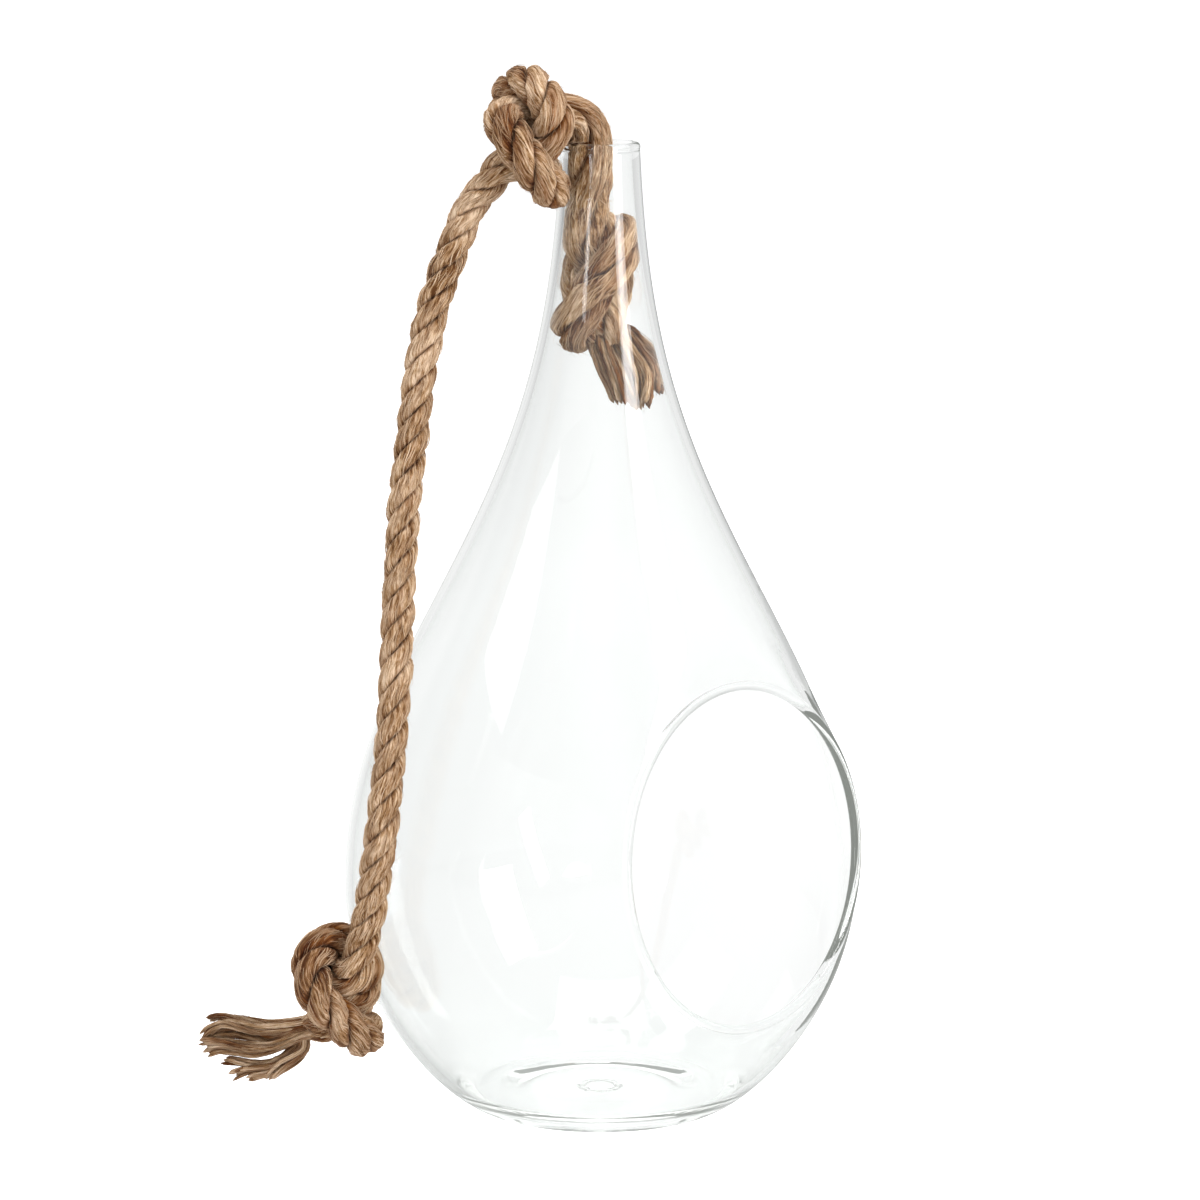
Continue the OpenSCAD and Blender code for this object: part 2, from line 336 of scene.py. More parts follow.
RADIUS = on_stations(OPENED_R, LEAVING_R, KNOT_R, LAID_R, KNOT_R)
# How many times as wide the rope is along OPEN_WAY, and how far it is moved that way
OPEN_SHARE = on_stations(1.08, 1.22, 1, 1, 1)
OPEN_SHIFT = on_stations(0, 1.3, 0, 0, 0)
# How deep the furrows between the yarns are, as a share of a strand's reach
FURROW = on_stations(0.15, 0.14, 0.08, 0.06, 0.08)
# Painted shade on each stretch of the rope, as how much darker it is made: most on the knots
STRETCH_SHADE = on_stations(0.36, -0.1, 0.40, 0.03, 0.56)
# How far that painted shade swings from yarn to yarn: less where a yarn swells out, more where it sinks
YARN_SHADE_SWING = on_stations(0.75, 0.7, 0.55, 0.45, 0.6)
# How far the rope keeps its lay: it is half unlaid inside the neck
LAY_KEPT = on_stations(0.55, 0.3, 1, 1, 1)
LAY_ANGLE = 2 * math.pi / LAY_RUN * np.cumsum(LAY_KEPT) * STATION_RUN
FIBRE_ANGLE = FIBRE_TURN * np.cumsum(LAY_KEPT) * STATION_RUN
# The rope's two ends thin over this run by this share before they fall open
END_RUN = 8
END_SLIM = 0.5
RADIUS *= 1 - END_SLIM * (1 - smooth_step(0, END_RUN, np.minimum(RUN, RUN[-1] - RUN)))

# Where the rope comes out over the rim
INSIDE_RUN = RUN[np.argmax((LINE[:, 2] > VESSEL_H) & (np.arange(len(LINE)) > station(STOPPER_END)))]

INNER_STEPS = 600
INNER_Z = np.linspace(BELLY_H, VESSEL_H, INNER_STEPS)
INNER_LINE = moved_in(np.stack([outer_r(INNER_Z), INNER_Z], 1), WALL)
BEAD_AT = np.array([outer_r(VESSEL_H) - WALL / 2, VESSEL_H - BEAD_R])


def settled(p, run, gap=GLASS_GAP):
    """Points of the rope kept off the glass: inside the neck up to INSIDE_RUN, outside it from there."""
    z, r = p[..., 2], np.maximum(np.hypot(p[..., 0], p[..., 1]), TINY)
    bead = np.sqrt(np.clip(BEAD_R**2 - (z - BEAD_AT[1])**2, 0, None))
    by_bead = abs(z - BEAD_AT[1]) < BEAD_R
    inner = np.interp(z, INNER_LINE[:, 1], INNER_LINE[:, 0])
    inner = np.where(by_bead, np.minimum(inner, BEAD_AT[0] - bead), inner)
    most = np.where(z < VESSEL_H, inner - gap, np.inf)
    up = (z - PORT_H) / math.cos(PORT_TILT) - LIP_REACH * math.tan(PORT_TILT)
    lip = np.hypot(np.sqrt(np.clip(LIP_RING_R**2 - up**2, 0, None)), LIP_REACH) + LIP_R
    outer = np.maximum(outer_r(np.clip(z, 0, VESSEL_H)), np.where(abs(up) < LIP_RING_R, lip, 0))
    outer = np.where(by_bead, np.maximum(outer, BEAD_AT[0] + bead), outer)
    least = np.where(z < VESSEL_H, outer + gap, 0)
    goal = np.where(run < INSIDE_RUN, np.minimum(r, most), np.maximum(r, least))
    return np.concatenate([p[..., :2] * (goal / r)[..., None], p[..., 2:]], -1)


def fibre_noise(around, along, seed):
    """Smooth noise from -1 to 1 with so many cells round a strand, repeating round it."""
    table = np.random.default_rng(seed).uniform(-1, 1, (around, int(RUN[-1] / along) + 3))

    def value(turn, run):
        x, y = turn / (2 * math.pi) * around, np.clip(run / along, 0, table.shape[1] - 1.001)
        i, j = np.floor(x).astype(int), np.floor(y).astype(int)
        fx, fy = smooth_step(0, 1, x - i), smooth_step(0, 1, y - j)
        low, high = (table[i % around, j + up] * (1 - fx) + table[(i + 1) % around, j + up] * fx
                     for up in (0, 1))
        return low * (1 - fy) + high * fy

    return value


YARNS = 7
YARN_NOISE = [fibre_noise(around=9, along=13, seed=5 + k) for k in range(STRANDS)]
THREAD_NOISE = [fibre_noise(around=24, along=6, seed=15 + k) for k in range(STRANDS)]
SWELL_NOISE = fibre_noise(around=3, along=17, seed=25)
# How far each of them swells or thins a strand, as a share of its reach
YARN_SWELL = 0.075
THREAD_SWELL = 0.070
STRAND_SWELL = 0.045
# Radians between the places where two strands read the noise that swells them
SWELL_APART = 2.1
# Yarns stand out where the cosine that makes them is over this
FURROW_LEVEL = 0.6
# Painted shade in the hollow between strands: darkest to the first of these shares of the rope's radius,
# and ends at the second. It is patchy by this share, at this many times the rate of the swellings.
HOLLOW_DEEP = 0.68
HOLLOW_END = 0.93
PATCHY = 0.45
PATCH_RATE = 3
# A strand's middle lies at this share of the rope's radius
STRAND_OUT_SHARE = 0.5
STRAND_DEEP_SHARE = 0.59
STRAND_WIDE_SHARE = 0.66
CORNER_POWER = 5


def strand_reach(r, phi):
    """How far a strand reaches from its middle: to the rope's round, its neighbours and its own round."""
    out = STRAND_OUT_SHARE * r
    to_round = -out * np.cos(phi) + np.sqrt(r**2 - (out * np.sin(phi))**2)
    third = math.pi / STRANDS
    turn = np.abs((phi + math.pi) % (2 * math.pi) - math.pi) - third
    to_side = out * math.sin(third) / np.maximum(np.sin(np.clip(turn, 0, math.pi)), TINY)
    own = r / np.hypot(np.cos(phi) / STRAND_DEEP_SHARE, np.sin(phi) / STRAND_WIDE_SHARE)
    p = CORNER_POWER
    return (to_round**-p + to_side**-p + own**-p)**(-1 / p)


def frames_at(run):
    """Middle of the rope, its way and two sides of it at any run."""
    def at(table):
        return np.stack([np.interp(run, RUN, table[:, i]) for i in range(3)], -1)
    along = unit(at(ALONG))
    side = square_to(along, at(SIDE))
    return at(LINE), along, side, np.cross(along, side)


def strand_surface(k, run, phi, lift=0.0):
    """Points on strand k, lifted off it, the ways square to it there, and how much painted shade darkens it
    there.
    run and phi have one shape."""
    middle, along, side, up = frames_at(run)
    r = np.interp(run, RUN, RADIUS)
    lay = (np.interp(run, RUN, LAY_ANGLE) + 2 * math.pi * k / STRANDS)[..., None]
    out = side * np.cos(lay) + up * np.sin(lay)
    across = np.cross(along, out)
    turn = phi + np.interp(run, RUN, FIBRE_ANGLE)
    furrow = np.interp(run, RUN, FURROW) * (np.abs(np.cos(turn * YARNS / 2)) - FURROW_LEVEL)
    yarn = YARN_NOISE[k](turn, run)
    swell = SWELL_NOISE(np.full_like(run, SWELL_APART * k), run)
    rough = (1 + STRAND_SWELL * swell + YARN_SWELL * yarn + THREAD_SWELL * THREAD_NOISE[k](turn, run)
             + furrow)
    reach = strand_reach(r, phi) * rough + lift
    x = STRAND_OUT_SHARE * r + reach * np.cos(phi)
    y = reach * np.sin(phi)
    # Painted shade: dim darkens the jute in the hollows between strands, patchily, on the knots, and where
    # a yarn sinks
    hollow = 1 - smooth_step(HOLLOW_DEEP, HOLLOW_END, np.hypot(x, y) / r)
    patchy = 1 - PATCHY + PATCHY * SWELL_NOISE(phi + k, PATCH_RATE * run)
    dim = hollow * patchy + np.interp(run, RUN, STRETCH_SHADE) - np.interp(run, RUN, YARN_SHADE_SWING) * yarn
    d = out * x[..., None] + across * y[..., None]
    wide = (np.interp(run, RUN, OPEN_SHARE) - 1)[..., None]
    d = d + wide * (d @ OPEN_WAY)[..., None] * OPEN_WAY
    d = d + np.interp(run, RUN, OPEN_SHIFT)[..., None] * OPEN_WAY
    normal = out * np.cos(phi)[..., None] + across * np.sin(phi)[..., None]
    return settled(middle + d, run), normal, np.clip(dim, 0, 1)


class Heap:
    """Points, faces, places on the fibres and dims of a mesh put together from tubes. A dim darkens the
    jute: painted shade on the strands and hairs, a random darker tone on loose yarns.
    """

    def __init__(self):
        self.points, self.faces, self.places, self.dims, self.count = [], [], [], [], 0

    def tubes(self, rings, around, runs, dim):
        """Closed tubes through rings of points: an array of tube, ring, corner. around and runs place
        each ring on the fibres, as turns round the tube and millimetres along it."""
        tubes, count, sides = rings.shape[:3]
        ids = self.count + np.arange(tubes * count * sides).reshape(tubes, count, sides)
        beside = np.roll(ids, -1, axis=2)
        quads = np.stack([ids[:, :-1], beside[:, :-1], beside[:, 1:], ids[:, 1:]], -1)
        turn = around[..., None] + np.arange(sides) / sides
        along = np.broadcast_to(runs[..., None], turn.shape)
        left, right = np.stack([turn, along], -1), np.stack([turn + 1 / sides, along], -1)
        corners = [left[:, :-1], right[:, :-1], right[:, 1:], left[:, 1:]]
        self.faces += quads.reshape(-1, 4).tolist()
        self.places.append(np.stack(corners, -2).reshape(-1, 2))
        for ring, way in ((0, -1), (count - 1, 1)):
            self.faces += ids[:, ring, ::way].tolist()
            self.places.append(left[:, ring, ::way].reshape(-1, 2))
        self.points.append(rings.reshape(-1, 3))
        self.dims.append(np.broadcast_to(dim, rings.shape[:3]).ravel())
        self.count += tubes * count * sides

    def piece(self, name, material, node=None):
        mesh = bpy.data.meshes.new(name)
        mesh.from_pydata((np.vstack(self.points) * MM).tolist(), [], self.faces)
        layer = mesh.uv_layers.new(name="lay")
        layer.data.foreach_set("uv", np.vstack(self.places).astype(np.float32).ravel())
        dims = mesh.attributes.new("dim", "FLOAT", "POINT")
        dims.data.foreach_set("value", np.concatenate(self.dims).astype(np.float32))
        mesh.shade_smooth()
        mesh.materials.append(material)
        piece = placed(name, mesh)
        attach(piece, "rope")
        if node:
            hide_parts(node)
        return piece


# Jute's colours from dark to light, at places of its shade. Fine lines, broad lines and one tone for
# each stretch of yarn make up that shade, by these shares.
JUTE_STOPS = [(0.415, (0.110, 0.041, 0.010)), (0.49, (0.40, 0.232, 0.110)), (0.585, (0.87, 0.68, 0.50))]
FINE_SHARE = 0.55
BROAD_SHARE = 0.25
TONE_SHARE = 0.2
# Changes of that tone in a millimetre
TONE_RATE = 0.04
# Duller patches, and what they keep of the colour
PATCH_STOPS = [(0.34, (0.76, 0.70, 0.64)), (0.62, (1.0, 1.0, 1.0))]
# What the deepest painted shade, and the darkest tone of loose yarns, keeps of red, green and blue
DIM_KEEPS = (0.33, 0.165, 0.05)


def jute_material(name, stretch, bump_share, pale):
    """Jute fibre: long fine lines along the strand's fibres, tan with painted shade in the hollows and on
    the knots, and paler hairs.
    """
    material = bpy.data.materials.new(name)
    n = Nodes(material)
    lay = n.add("UVMap", {"uv_map": "lay"})
    place = n.add("SeparateXYZ", Vector=lay).outputs
    turn = n.math("MULTIPLY", place[0], 2 * math.pi)
    lines = n.add("CombineXYZ", X=n.math("COSINE", turn), Y=n.math("SINE", turn),
                  Z=n.math("MULTIPLY", place[1], stretch))
    fine = n.noise(lines, Scale=6.5, Detail=5.0, Roughness=0.68, Distortion=0.3)
    broad = n.noise(lines, Scale=2.2, Detail=2.0, Roughness=0.5)
    tone = n.add("TexNoise", {"noise_dimensions": "1D"}, Scale=1.0, Detail=1.0,
                 W=n.math("MULTIPLY", place[1], TONE_RATE))
    shade = n.math("ADD", n.math("MULTIPLY", fine, FINE_SHARE), n.math("MULTIPLY", broad, BROAD_SHARE))
    shade = n.math("ADD", shade, n.math("MULTIPLY", tone, TONE_SHARE))
    colour = n.ramp(n.math("ADD", shade, pale), JUTE_STOPS)
    where = n.add("TexCoord").outputs["Object"]
    patch = n.noise(where, Scale=90.0, Detail=3.0, Roughness=0.6)
    colour = n.mix(1.0, colour, n.ramp(patch, PATCH_STOPS), "MULTIPLY")
    # The dim attribute darkens towards DIM_KEEPS: painted shade in hollows and on knots, and the loose
    # yarns' random tone
    dim = n.add("Attribute", {"attribute_name": "dim"}).outputs["Fac"]
    colour = n.mix(dim, colour, n.mix(1.0, colour, (*DIM_KEEPS, 1), "MULTIPLY"))
    bump = n.add("Bump", Strength=bump_share, Distance=0.0006, Height=fine)
    shader = n.add("BsdfPrincipled", Base_Color=colour, Roughness=ranged(n, fine, 0, 1, 0.95, 0.75),
                   Normal=bump, Specular_IOR_Level=0.15, Sheen_Weight=0.08, Sheen_Roughness=0.5,
                   Sheen_Tint=(0.95, 0.85, 0.7, 1))
    n.add("OutputMaterial", Surface=shader)
    return material


JUTE = jute_material("jute", stretch=0.05, bump_share=0.8, pale=0.0)
JUTE_HAIR = jute_material("jute_hair", stretch=0.012, bump_share=0.2, pale=0.03)


def rope_piece(node):
    low, high = NODE_SPANS[node]
    heap = Heap()
    phi = 2 * math.pi * np.arange(STRAND_SIDES) / STRAND_SIDES
    runs = RUN[low:high + 1]
    for k in range(STRANDS):
        run, turn = np.meshgrid(runs, phi, indexing="ij")
        points, _, dim = strand_surface(k, run, turn)
        around = FIBRE_ANGLE[low:high + 1] / (2 * math.pi)
        heap.tubes(points[None], around[None], runs[None], dim[None])
    return heap.piece(node.replace("rope_", "jute_"), JUTE, node)


ROPE_PIECES = {node: rope_piece(node) for node in NODE_SPANS}


# A hair or yarn thins by this share at its tip, and its colours start up to this far along the noise
TIP_THINS = 0.85
NOISE_RUN = 900


def thin_tubes(heap, paths, normals, radius, taper_from, seed, dim, sides=3):
    """Hairs or yarns as closed tubes along paths, an array of hair, point. Each thins to its tip."""
    way = unit(np.gradient(paths, axis=1))
    first = square_to(way, normals)
    second = np.cross(way, first)
    t = np.linspace(0, 1, paths.shape[1])
    thick = radius[:, None] * (1 - TIP_THINS * smooth_step(taper_from, 1, t))
    a = 2 * math.pi * np.arange(sides) / sides
    rings = paths[:, :, None] + thick[..., None, None] * (
        first[:, :, None] * np.cos(a)[:, None] + second[:, :, None] * np.sin(a)[:, None])
    rng = np.random.default_rng(seed)
    around = np.repeat(rng.uniform(0, 1, (len(paths), 1)), paths.shape[1], 1)
    runs = rng.uniform(0, NOISE_RUN, (len(paths), 1)) + runs_of(paths)
    heap.tubes(rings, around, runs, dim)


# Kinds of fibre: how many start in a millimetre of rope, points of one, least and most of its length,
# lift and radius, how far to each side on its strand it may start, and where it begins to thin
TUCKED_HAIRS = dict(each_mm=9.0, points=7, lengths=(3.5, 10), lifts=(0.12, 0.38), radii=(0.09, 0.21),
                    side=1.9, taper_from=0.55)
SHORT_HAIRS = dict(points=6, lengths=(1.5, 6), lifts=(0.3, 1.8), radii=(0.045, 0.09), side=1.5)
LONG_HAIRS = dict(each_mm=0.5, points=8, lengths=(5, 12), lifts=(1.0, 3.5), radii=(0.045, 0.08),
                  side=1.3)
# Short hairs in a millimetre: the opened rope inside the neck has more than the rest
SHORT_EACH_MM = {"rope_stopper_knot": 8.0, "rope_neck_run": 9.0}
SHORT_ELSEWHERE = 4.0
# How deep a tucked hair's ends and a loose one's root lie
TUCKED_DEEP = 0.08
ROOT_DEEP = 0.05
# How a loose hair's lift and wandering grow along it
LIFT_POWER = 1.6
WANDER_POWER = 1.3
WANDER = 0.352
# How far a hair turns round its strand, and its share of the painted shade there
HAIR_TURN = 0.4
HAIR_DIM = 0.5


def hairs(heap, low, high, seed, tucked, each_mm, points, lengths, lifts, radii, side, taper_from=0):
    """Hairs that start at random places on the strands between two runs. A tucked hair lies on its
    strand with both ends in it. A loose one lifts off and wanders."""
    rng = np.random.default_rng(seed)
    t = np.linspace(0, 1, points)
    for k in range(STRANDS):
        count = int((high - low) * each_mm / STRANDS)
        length = rng.uniform(*lengths, (count, 1))
        start = rng.uniform(low, high, (count, 1))
        sign = rng.choice([-1, 1], (count, 1))
        run = np.clip(start + sign * length * t, RUN[0], RUN[-1])
        turned = np.interp(run, RUN, FIBRE_ANGLE) - np.interp(start, RUN, FIBRE_ANGLE)
        phi = rng.uniform(-side, side, (count, 1)) - turned
        phi = phi + rng.normal(0, HAIR_TURN, (count, 1)) * t
        height = rng.uniform(*lifts, (count, 1))
        lift = height * np.sin(math.pi * t) - TUCKED_DEEP if tucked else height * t**LIFT_POWER - ROOT_DEEP
        p, normal, dim = strand_surface(k, run, phi, lift)
        if not tucked:
            wander = rng.normal(0, WANDER, (count, points, 3)) * length[..., None] / points
            p = settled(p + np.cumsum(wander, 1) * (t**WANDER_POWER)[:, None], run, GLASS_GAP / 2)
        radius = rng.uniform(*radii, count)
        thin_tubes(heap, p, normal, radius, taper_from, seed + 100 + k, HAIR_DIM * dim[..., None])


def fuzz_piece(node, seed):
    low, high = (RUN[i] for i in NODE_SPANS[node])
    short_each_mm = SHORT_EACH_MM.get(node, SHORT_ELSEWHERE)
    heap = Heap()
    hairs(heap, low, high, seed, True, **TUCKED_HAIRS)
    hairs(heap, low, high, seed + 1, False, short_each_mm, **SHORT_HAIRS)
    hairs(heap, low, high, seed + 2, False, **LONG_HAIRS)
    heap.piece(node.replace("rope_", "fibres_"), JUTE_HAIR)


for number, name in enumerate(NODE_SPANS):
    fuzz_piece(name, seed=40 + 10 * number)


# Where the rope ends it falls open into bundles of yarn, each through these points to its tip
YARN_R = 0.72
STRAY_R = 0.10
# The thinnest and thickest yarn or stray of a bundle, as shares of the usual one
THINNEST = 0.75
THICKEST = 1.2
END_BUNDLES = [
    ((-95.5, 49.6, 32.8), (-99.6, 57.3, 34), (-102.8, 63.3, 35), (-104.7, 66.3, 34)),
    ((-98.4, 48.7, 32.4), (-101.4, 54.2, 32.9), (-104, 59.2, 33.9), (-106.5, 62.9, 32.2),
     (-108.2, 65.1, 29.6)),
    ((-96, 46.4, 29.2), (-98.6, 51.2, 29.9), (-101.5, 56.6, 30.5), (-104.5, 61.5, 29.8),
     (-107.3, 65.7, 27.7)),
    ((-97.6, 44.8, 28.1), (-100.7, 50.1, 27.4), (-103.9, 55.8, 27.7), (-106.5, 60.5, 28.2),
     (-109.2, 65, 27.6)),
    ((-96.8, 46.9, 26.7), (-100.1, 52, 24.9), (-102.9, 57, 25), (-105.5, 61.6, 24.9),
     (-107.6, 64.6, 23.2)),
    ((-91.9, 41, 28.2), (-94.9, 44.7, 23.6), (-97.9, 49.4, 21.4), (-101.4, 55.5, 21.5),
     (-103.9, 60, 21.8)),
    ((-93.2, 36.8, 27.5), (-96.3, 40.8, 23.4), (-98.4, 43.5, 20.3), (-99.8, 45.2, 18.1)),
    ((-92.9, 39.9, 26.5), (-97, 45.6, 22.1), (-100.3, 50.7, 20.4), (-102.6, 54.3, 18.9),
     (-103.9, 56.1, 17.7)),
    ((-93.3, 38.3, 25.6), (-97, 43.2, 21), (-99.8, 47.5, 19.2), (-102.4, 51.5, 17.7)),
]
INNER_BUNDLES = [
    ((-1.6, 1.1, 241), (-1.7, -0.6, 236), (-0.7, -3.8, 230), (1.1, -8, 221.6)),
    ((-1.5, -2.5, 241), (-1.6, -5, 236), (-0.9, -8.2, 229.5), (0.1, -11.4, 221.4)),
    ((1.7, -2.4, 241), (2.3, -5.3, 236), (3.6, -9, 227.6), (3.9, -11.6, 219.2)),
    ((1.3, -6.1, 241), (2.8, -9.8, 236), (4.1, -13.6, 229.5), (3.5, -15.3, 220.5)),
    ((4.1, -6.1, 242), (5.9, -10.2, 236.5), (7.8, -14.3, 230.7), (8.2, -16.4, 224.1)),
    ((6.2, -5.8, 242), (8.8, -10.4, 237), (10.8, -14, 232.9), (12.1, -16.6, 228.1)),
]


# A bundle starts this far out from the rope's middle and this far back inside the rope
BUNDLE_OUT = 2.2
BUNDLE_BACK = 5
BUNDLE_STEPS = 12
BUNDLE_RUN = 1.1
# Radians from yarn to yarn in a bundle, then how far each turns to its tip and how that varies
YARN_APART = 2.4
YARN_TURN = 2.2
YARN_TURN_SPREAD = 0.6
# How far and at what rate each sways, from a phase in this range
SWAY = 0.3
SWAY_RATE = 5
PHASES = (0, 6)
# How a yarn's wandering and the raggedness of its tip grow along it
YARN_WANDER_POWER = 1.5
RAGGED_POWER = 4
# How far the depth of brown differs between yarns and waves along one, and at what rate
DIM_SPREAD = 0.45
DIM_WAVE = 0.3
DIM_WAVE_RATE = 9


def bundle(heap, root, way, points, rope_run, yarns, root_r, tip_r, dim, seed):
    """Yarns side by side from inside the rope's end to a ragged tip, with a few thin strays."""
    rng = np.random.default_rng(seed)
    route = np.vstack([root - BUNDLE_BACK * way, root, np.array(points)])
    line, _ = resampled(curve(route, BUNDLE_STEPS), BUNDLE_RUN)
    along = directions(line)
    side = sides_along(line, (0.2, 0.3, 1))
    up = np.cross(along, side)
    t = np.linspace(0, 1, len(line))
    spread = root_r + (tip_r - root_r) * smooth_step(0.1, 1, t)

    def strewn(count, thick, loose, ragged, sides, taper_from):
        paths = []
        for j in range(count):
            out = math.sqrt((j + 0.5) / count)
            turn = YARN_APART * j + YARN_TURN * t + rng.normal(0, YARN_TURN_SPREAD) * t
            turn += SWAY * np.sin(SWAY_RATE * t + rng.uniform(*PHASES))
            wander = np.cumsum(rng.normal(0, loose, (len(line), 2)), 0) * (t**YARN_WANDER_POWER)[:, None]
            x = out * spread * np.cos(turn) + wander[:, 0]
            y = out * spread * np.sin(turn) + wander[:, 1]
            path = line + side * x[:, None] + up * y[:, None]
            path += along[-1] * (t**RAGGED_POWER * rng.uniform(-ragged, ragged))[:, None]
            paths.append(settled(path, rope_run, GLASS_GAP + THICKEST * thick))
        normals = np.broadcast_to(side, (count, *side.shape))
        radius = thick * rng.uniform(THINNEST, THICKEST, count)
        dims = rng.normal(dim, DIM_SPREAD, (count, 1))
        dims = dims + DIM_WAVE * np.sin(DIM_WAVE_RATE * t + rng.uniform(*PHASES, (count, 1)))
        dims = np.clip(dims, 0, 1)[..., None]
        thin_tubes(heap, np.array(paths), normals, radius, taper_from, seed, dims, sides)

    strewn(yarns, YARN_R, loose=0.08, ragged=1.4, sides=7, taper_from=0.96)
    strewn(2 * yarns, STRAY_R, loose=0.25, ragged=2.4, sides=3, taper_from=0.5)


def tail_piece(node, bundles, at_start, yarns, root_r, tip_r, dim, seed):
    heap = Heap()
    end, way, rope_run = (LINE[0], -ALONG[0], RUN[0]) if at_start else (LINE[-1], ALONG[-1], RUN[-1])
    for j, points in enumerate(bundles):
        root = end + BUNDLE_OUT * square_to(way, np.array(points[0]) - end)
        bundle(heap, root, way, points, rope_run, yarns, root_r, tip_r, dim, seed + j)
    heap.piece(node.replace("rope_", "jute_"), JUTE, node)


tail_piece("rope_end_tail", END_BUNDLES, at_start=False, yarns=7, root_r=1.3, tip_r=1.35, dim=0.22,
           seed=300)
tail_piece("rope_inner_tail", INNER_BUNDLES, at_start=True, yarns=11, root_r=2.0, tip_r=2.4, dim=0.15,
           seed=400)


# The part of the turned form round the side opening that a patch of its own fills
WINDOW_LOW = 14
WINDOW_HIGH = 176
WINDOW_HALF = math.radians(60)
COLUMNS = 240
# Rows of the outline, part by part
SCAR_ROWS = 19
HOLLOW_ROWS = 18
UNDER_ROWS = 44
SHOULDER_ROWS = 112
BEAD_ROWS = 20
FLOOR_ROWS = 14
# Radii where the scar's rows end and the hollow's start, and how far those end from the ring
SCAR_ROWS_R = 9
HOLLOW_ROWS_R = 10
RING_CLEAR = 0.6
HOLLOW_R = FOOT_R - FOOT_RING_W
HOLLOW_SLOPE_W = 2 * FOOT_RING_W
# Points across the foot's flat ring: how far in from its outer edge, and how high
RING_POINTS = [(FOOT_RING_W, 0.02), (FOOT_RING_W - 0.8, 0), (3, 0), (0.9, 0), (0.15, 0.03)]
# The most that a speck deepens the scar
SPECK_MOST = 1.7
# Rounding between the wall and the floor inside
FLOOR_ROUND = 6
# The wall goes over into the bead this far under the rim, and the bead starts and ends at these turns
BEAD_FROM = 2.2 * BEAD_R
BEAD_TURNS = (-24, 204)


def under_heights(first, count):
    """Heights from a first share of the way up to the belly, closer together near the foot."""
    return BELLY_H * (1 - np.cos(np.linspace(first, 1, count) * math.pi / 2))


def wall_rows():
    """Outer and inner outline of the wall from the foot to just under the rim's bead, row by row."""
    shoulder = np.linspace(BELLY_H, VESSEL_H - BEAD_FROM, SHOULDER_ROWS)
    z = np.concatenate([under_heights(0.05, UNDER_ROWS)[:-1], shoulder])
    outer = np.stack([outer_r(z), z], 1)
    inner = moved_in(outer, WALL)
    inner[:, 1] = -smooth_min(-inner[:, 1], np.full(len(z), -FLOOR_T), FLOOR_ROUND)
    return outer, inner


def glass_outline():
    """The whole outline from the middle of the underside round the rim to the middle of the floor,
    and which rows of it are the outer and inner wall."""
    r = np.concatenate([np.linspace(0, SCAR_ROWS_R, SCAR_ROWS),
                        np.linspace(HOLLOW_ROWS_R, HOLLOW_R - RING_CLEAR, HOLLOW_ROWS)])
    z = HOLLOW_H * (1 - smooth_step(HOLLOW_R - HOLLOW_SLOPE_W, HOLLOW_R, r))
    z = z - SCAR_H * np.exp(-((r - SCAR_R) / SCAR_W)**2)
    under = np.stack([r, z], 1)
    ring = np.array([(FOOT_R - inset, height) for inset, height in RING_POINTS])
    outer, inner = wall_rows()
    turn = np.radians(np.linspace(*BEAD_TURNS, BEAD_ROWS))
    bead = BEAD_AT + BEAD_R * np.stack([np.cos(turn), np.sin(turn)], 1)
    floor_r = np.linspace(inner[0, 0], 0, FLOOR_ROWS)[1:]
    floor = np.stack([floor_r, np.full(len(floor_r), FLOOR_T)], 1)
    line = np.vstack([under, ring, outer, bead, inner[::-1], floor])
    outer_rows = len(under) + len(ring) + np.arange(len(outer))
    inner_rows = outer_rows[-1] + len(bead) + len(inner) - np.arange(len(inner))
    return line, outer_rows, inner_rows


def turned_points(line):
    """The outline turned round the axis, as an array of row, column, with the scar's deep specks."""
    turns = 2 * math.pi * np.arange(COLUMNS) / COLUMNS - math.pi / 2
    r, z = line[:, :1], line[:, 1:]
    off = (turns[:, None] - SPECKS + math.pi) % (2 * math.pi) - math.pi
    specks = np.exp(-(off / SPECK_HALF)**2).sum(1)
    scar = np.clip(1 + (specks - 1) * np.exp(-((r - SCAR_R) / SCAR_W)**2), 0, SPECK_MOST)
    over_scar = (np.arange(len(line)) < SCAR_ROWS)[:, None]
    z = np.where(over_scar, HOLLOW_H - (HOLLOW_H - z) * scar, z)
    return np.stack([r * np.cos(turns), r * np.sin(turns), z], 2)


def turned_id(row, column):
    """Number of a point of the turned form, whose first row is the outline's second point."""
    return (row - 1) * COLUMNS + column % COLUMNS


def window_edge(rows, first, last, half):
    """Numbers of the points round the window in one wall."""
    edge = [(rows[first], c) for c in range(-half, half)]
    edge += [(rows[i], half) for i in range(first, last)]
    edge += [(rows[last], c) for c in range(half, -half, -1)]
    edge += [(rows[i], -half) for i in range(last, first, -1)]
    return [turned_id(*place) for place in edge]


def added(verts, new):
    """Puts new points into the mesh and gives their numbers."""
    verts += new.tolist()
    return list(range(len(verts) - len(new), len(verts)))


def bridge(ids, next_ids):
    """Faces between two closed loops of as many points."""
    return [[a, b, d, c] for a, b, c, d in zip(
        ids, ids[1:] + ids[:1], next_ids, next_ids[1:] + next_ids[:1])]


# Directions out of the opening and up its face
PORT_OUT = np.array([0, -math.cos(PORT_TILT), math.sin(PORT_TILT)])
PORT_UP = np.array([0, math.sin(PORT_TILT), math.cos(PORT_TILT)])
# The wall is found by halving a distance that ends outside the glass, so many times
FAR_OUT = 95.0
HALVINGS = 40


def on_port(u, v, n):
    """Places from how far they lie across the opening, up its face and out of it."""
    return (0, 0, PORT_H) + u[:, None] * (1, 0, 0) + v[:, None] * PORT_UP + n[:, None] * PORT_OUT


